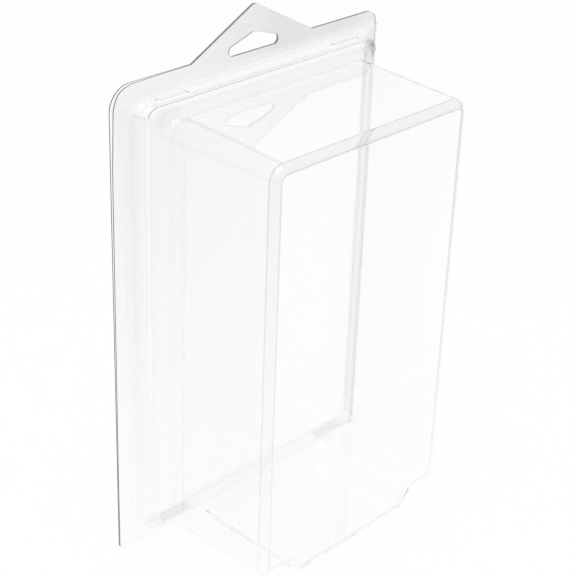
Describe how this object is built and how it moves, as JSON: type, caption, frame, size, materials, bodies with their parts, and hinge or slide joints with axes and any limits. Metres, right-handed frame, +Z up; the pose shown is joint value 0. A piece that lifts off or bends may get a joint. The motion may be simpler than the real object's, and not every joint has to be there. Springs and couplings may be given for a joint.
{
  "type": "carded figure display case",
  "caption": "Clear thermoformed clamshell display case: hinged flanged back with raised panel, front with stepped card recess and deep blister on a foot, and a hang tab with a delta peg hole.",
  "frame": {"origin": "on the surface that the shut case stands on, under the middle of its box", "axes": "+Z up, -Y out of the blister's face, +X towards the fold"},
  "size_m": [0.1792, 0.0798, 0.2751],
  "materials": {
    "clear_pet": "clear gloss, thermoformed sheet"
  },
  "bodies": {
    "back": {"back_shell": "clear_pet"},
    "front": {"front_shell": "clear_pet"}
  },
  "joints": [
    {"name": "fold_hinge", "type": "hinge", "parent": "back", "child": "front", "pos_m": [0.08895, 0.03925, 0.125], "axis": [0, 0, 1], "range_deg": [0, 180]}
  ]
}
